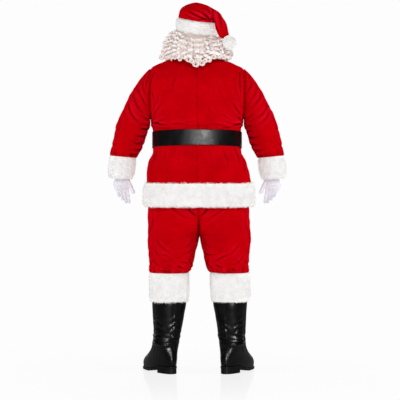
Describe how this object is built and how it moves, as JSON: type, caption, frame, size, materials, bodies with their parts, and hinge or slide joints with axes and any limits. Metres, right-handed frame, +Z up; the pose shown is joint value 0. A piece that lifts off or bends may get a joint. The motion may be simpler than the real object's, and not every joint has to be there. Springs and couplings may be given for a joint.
{
  "type": "santa suit",
  "caption": "Santa suit as worn: red plush jacket and trousers with white fur trim, wide black belt, fur-banded hat, curly wig, white gloves and black boots.",
  "frame": {"origin": "between the shoulders, at the height where the jacket rests on them, in the middle of the stance", "axes": "+Z up, +Y to the wearer's front, +X to the wearer's right"},
  "size_m": [0.89, 0.4138, 1.8232],
  "materials": {
    "red_plush": "short-pile plush",
    "white_fur": "faux fur",
    "white_hair": "synthetic curls",
    "white_knit": "fine knit",
    "belt_leather": "smooth, satin",
    "buckle_metal": "satin nickel",
    "boot_leather": "polished",
    "sole_rubber": "matt"
  },
  "bodies": {
    "root": {"jacket_back_left": "red_plush", "jacket_back_right": "red_plush", "jacket_front_left": "red_plush", "jacket_front_right": "red_plush", "jacket_sleeve_left": "red_plush", "jacket_sleeve_right": "red_plush", "trouser_back_left": "red_plush", "trouser_back_right": "red_plush", "trouser_front_left": "red_plush", "trouser_front_right": "red_plush", "trouser_waistband": "red_plush", "hat_crown": "red_plush", "jacket_hem_fur": "white_fur", "sleeve_cuff_fur_left": "white_fur", "sleeve_cuff_fur_right": "white_fur", "trouser_cuff_fur_left": "white_fur", "trouser_cuff_fur_right": "white_fur", "hat_fur_band": "white_fur", "hat_pompom": "white_fur", "wig_hair": "white_hair", "glove_left": "white_knit", "glove_right": "white_knit", "belt_strap": "belt_leather", "belt_buckle": "buckle_metal", "belt_prong": "buckle_metal", "boot_shaft_left": "boot_leather", "boot_shaft_right": "boot_leather", "boot_foot_left": "boot_leather", "boot_foot_right": "boot_leather", "boot_back_strip_left": "boot_leather", "boot_back_strip_right": "boot_leather", "boot_sole_left": "sole_rubber", "boot_sole_right": "sole_rubber", "boot_heel_left": "sole_rubber", "boot_heel_right": "sole_rubber"}
  },
  "joints": []
}
